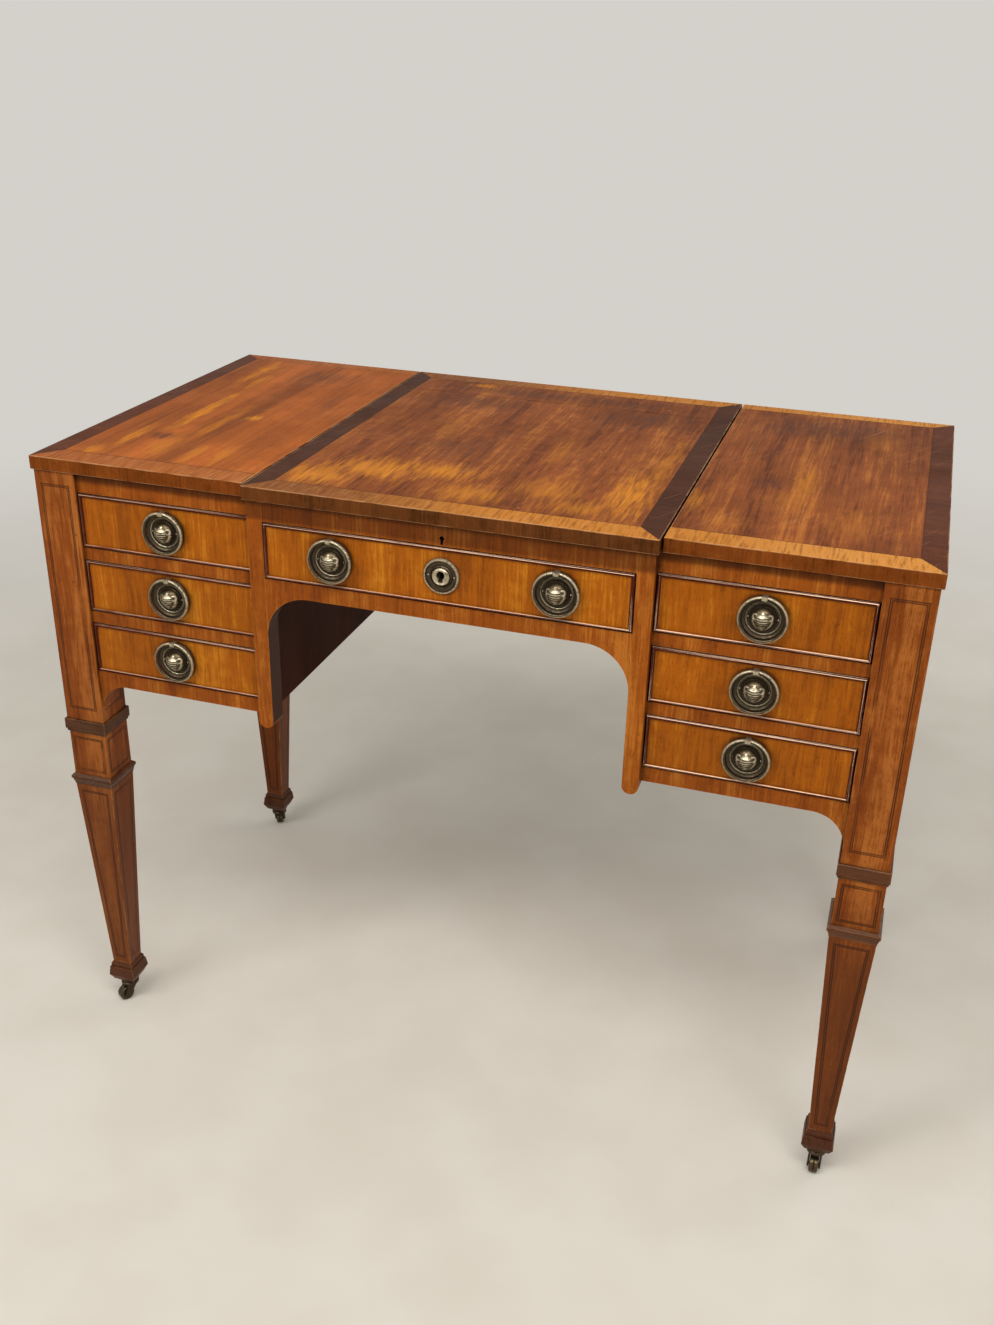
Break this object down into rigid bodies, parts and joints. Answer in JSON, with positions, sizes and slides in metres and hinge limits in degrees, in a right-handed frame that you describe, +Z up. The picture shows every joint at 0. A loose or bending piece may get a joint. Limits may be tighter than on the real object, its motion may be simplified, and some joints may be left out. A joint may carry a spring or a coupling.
{
  "type": "kneehole dressing table",
  "caption": "Breakfront kneehole dressing table on tapering legs with castors, with a lift-up lid over a well, cockbeaded drawers and ring pulls.",
  "frame": {"origin": "middle of the whole table's box on the floor, under the kneehole", "axes": "+X to the sitter's right along the front, +Y from the front to the back, +Z up"},
  "size_m": [0.99, 0.5488, 0.78],
  "materials": {
    "mahogany": "french polish, figured",
    "mahogany_top": "worn polish, crossbanded",
    "mahogany_dark": "dark polish",
    "oak_lining": "bare, aged",
    "brass_aged": "aged, toned",
    "brass_dark": "dark patina",
    "brass_bright": "rubbed bright",
    "steel_lock": "dull",
    "mirror_glass": "silvered"
  },
  "bodies": {
    "carcass": {"leg_front_left": "mahogany", "leg_front_right": "mahogany", "leg_back_left": "mahogany", "leg_back_right": "mahogany", "leg_mouldings": "mahogany_dark", "spade_feet": "mahogany_dark", "castor_plates": "brass_dark", "top_left": "mahogany_top", "top_right": "mahogany_top", "top_rear_strip": "mahogany_top", "outer_side_panels": "mahogany", "kneehole_side_panels": "mahogany", "back_panels": "oak_lining", "pedestal_rails": "mahogany", "drawer_runners": "oak_lining", "centre_stiles": "mahogany", "centre_frieze_rail": "mahogany", "kneehole_apron": "mahogany", "well_floor": "oak_lining", "lid_pivots": "brass_aged", "stay_guides": "brass_aged", "lid_lock": "brass_aged"},
    "lid": {"lid": "mahogany_top", "lid_strike": "brass_aged", "mirror_frame": "mahogany_dark", "mirror_glass": "mirror_glass", "lid_stays": "brass_aged"},
    "drawer_right_upper": {"drawer_right_upper": "mahogany", "pull_plate_right_upper": "brass_aged"},
    "ring_right_upper": {"pull_ring_right_upper": "brass_aged"},
    "drawer_right_middle": {"drawer_right_middle": "mahogany", "pull_plate_right_middle": "brass_aged"},
    "ring_right_middle": {"pull_ring_right_middle": "brass_aged"},
    "drawer_right_lower": {"drawer_right_lower": "mahogany", "pull_plate_right_lower": "brass_aged"},
    "ring_right_lower": {"pull_ring_right_lower": "brass_aged"},
    "drawer_left_upper": {"drawer_left_upper": "mahogany", "pull_plate_left_upper": "brass_aged"},
    "ring_left_upper": {"pull_ring_left_upper": "brass_aged"},
    "drawer_left_middle": {"drawer_left_middle": "mahogany", "pull_plate_left_middle": "brass_aged"},
    "ring_left_middle": {"pull_ring_left_middle": "brass_aged"},
    "drawer_left_lower": {"drawer_left_lower": "mahogany", "pull_plate_left_lower": "brass_aged"},
    "ring_left_lower": {"pull_ring_left_lower": "brass_aged"},
    "drawer_centre": {"drawer_centre": "mahogany", "pull_plates_centre": "brass_aged", "escutcheon": "brass_aged", "drawer_lock": "brass_aged"},
    "ring_centre_left": {"pull_ring_centre_left": "brass_aged"},
    "ring_centre_right": {"pull_ring_centre_right": "brass_aged"},
    "drawer_bolt": {"drawer_lock_bolt": "steel_lock"},
    "castor_fork_front_left": {"castor_fork_front_left": "brass_dark"},
    "castor_wheel_front_left": {"castor_wheel_front_left": "brass_bright"},
    "castor_fork_front_right": {"castor_fork_front_right": "brass_dark"},
    "castor_wheel_front_right": {"castor_wheel_front_right": "brass_bright"},
    "castor_fork_back_left": {"castor_fork_back_left": "brass_dark"},
    "castor_wheel_back_left": {"castor_wheel_back_left": "brass_bright"},
    "castor_fork_back_right": {"castor_fork_back_right": "brass_dark"},
    "castor_wheel_back_right": {"castor_wheel_back_right": "brass_bright"}
  },
  "joints": [
    {"name": "lid_hinge", "type": "hinge", "parent": "carcass", "child": "lid", "pos_m": [0, 0.1742, 0.776], "axis": [-1, 0, 0], "range_deg": [0, 96]},
    {"name": "drawer_right_upper_slide", "type": "slide", "parent": "carcass", "child": "drawer_right_upper", "axis": [0, -1, 0], "range_m": [0, 0.33]},
    {"name": "ring_right_upper_swing", "type": "hinge", "parent": "drawer_right_upper", "child": "ring_right_upper", "pos_m": [0.33225, -0.2576, 0.7314], "axis": [-1, 0, 0], "range_deg": [0, 105]},
    {"name": "drawer_right_middle_slide", "type": "slide", "parent": "carcass", "child": "drawer_right_middle", "axis": [0, -1, 0], "range_m": [0, 0.33]},
    {"name": "ring_right_middle_swing", "type": "hinge", "parent": "drawer_right_middle", "child": "ring_right_middle", "pos_m": [0.33225, -0.2576, 0.6514], "axis": [-1, 0, 0], "range_deg": [0, 105]},
    {"name": "drawer_right_lower_slide", "type": "slide", "parent": "carcass", "child": "drawer_right_lower", "axis": [0, -1, 0], "range_m": [0, 0.33]},
    {"name": "ring_right_lower_swing", "type": "hinge", "parent": "drawer_right_lower", "child": "ring_right_lower", "pos_m": [0.33225, -0.2576, 0.5724], "axis": [-1, 0, 0], "range_deg": [0, 105]},
    {"name": "drawer_left_upper_slide", "type": "slide", "parent": "carcass", "child": "drawer_left_upper", "axis": [0, -1, 0], "range_m": [0, 0.33]},
    {"name": "ring_left_upper_swing", "type": "hinge", "parent": "drawer_left_upper", "child": "ring_left_upper", "pos_m": [-0.33225, -0.2576, 0.7314], "axis": [-1, 0, 0], "range_deg": [0, 105]},
    {"name": "drawer_left_middle_slide", "type": "slide", "parent": "carcass", "child": "drawer_left_middle", "axis": [0, -1, 0], "range_m": [0, 0.33]},
    {"name": "ring_left_middle_swing", "type": "hinge", "parent": "drawer_left_middle", "child": "ring_left_middle", "pos_m": [-0.33225, -0.2576, 0.6514], "axis": [-1, 0, 0], "range_deg": [0, 105]},
    {"name": "drawer_left_lower_slide", "type": "slide", "parent": "carcass", "child": "drawer_left_lower", "axis": [0, -1, 0], "range_m": [0, 0.33]},
    {"name": "ring_left_lower_swing", "type": "hinge", "parent": "drawer_left_lower", "child": "ring_left_lower", "pos_m": [-0.33225, -0.2576, 0.5724], "axis": [-1, 0, 0], "range_deg": [0, 105]},
    {"name": "drawer_centre_slide", "type": "slide", "parent": "carcass", "child": "drawer_centre", "axis": [0, -1, 0], "range_m": [0, 0.25]},
    {"name": "ring_centre_left_swing", "type": "hinge", "parent": "drawer_centre", "child": "ring_centre_left", "pos_m": [-0.125, -0.2691, 0.7314], "axis": [-1, 0, 0], "range_deg": [0, 105]},
    {"name": "ring_centre_right_swing", "type": "hinge", "parent": "drawer_centre", "child": "ring_centre_right", "pos_m": [0.125, -0.2691, 0.7314], "axis": [-1, 0, 0], "range_deg": [0, 105]},
    {"name": "drawer_bolt_throw", "type": "slide", "parent": "drawer_centre", "child": "drawer_bolt", "axis": [0, 0, 1], "range_m": [0, 0.0045]},
    {"name": "castor_front_left_swivel", "type": "hinge", "parent": "carcass", "child": "castor_fork_front_left", "pos_m": [-0.4665, -0.2301, 0.03], "axis": [0, 0, 1], "continuous": true},
    {"name": "castor_front_left_roll", "type": "hinge", "parent": "castor_fork_front_left", "child": "castor_wheel_front_left", "pos_m": [-0.4705, -0.23703, 0.01], "axis": [-0.866, 0.5, 0], "continuous": true},
    {"name": "castor_front_right_swivel", "type": "hinge", "parent": "carcass", "child": "castor_fork_front_right", "pos_m": [0.4665, -0.2301, 0.03], "axis": [0, 0, 1], "continuous": true},
    {"name": "castor_front_right_roll", "type": "hinge", "parent": "castor_fork_front_right", "child": "castor_wheel_front_right", "pos_m": [0.46622, -0.2381, 0.01], "axis": [-0.9994, 0.0349, 0], "continuous": true},
    {"name": "castor_back_left_swivel", "type": "hinge", "parent": "carcass", "child": "castor_fork_back_left", "pos_m": [-0.4665, 0.2309, 0.03], "axis": [0, 0, 1], "continuous": true},
    {"name": "castor_back_left_roll", "type": "hinge", "parent": "castor_fork_back_left", "child": "castor_wheel_back_left", "pos_m": [-0.46924, 0.23842, 0.01], "axis": [0.9397, 0.342, 0], "continuous": true},
    {"name": "castor_back_right_swivel", "type": "hinge", "parent": "carcass", "child": "castor_fork_back_right", "pos_m": [0.4665, 0.2309, 0.03], "axis": [0, 0, 1], "continuous": true},
    {"name": "castor_back_right_roll", "type": "hinge", "parent": "castor_fork_back_right", "child": "castor_wheel_back_right", "pos_m": [0.46857, 0.23863, 0.01], "axis": [0.9659, -0.2588, 0], "continuous": true}
  ]
}
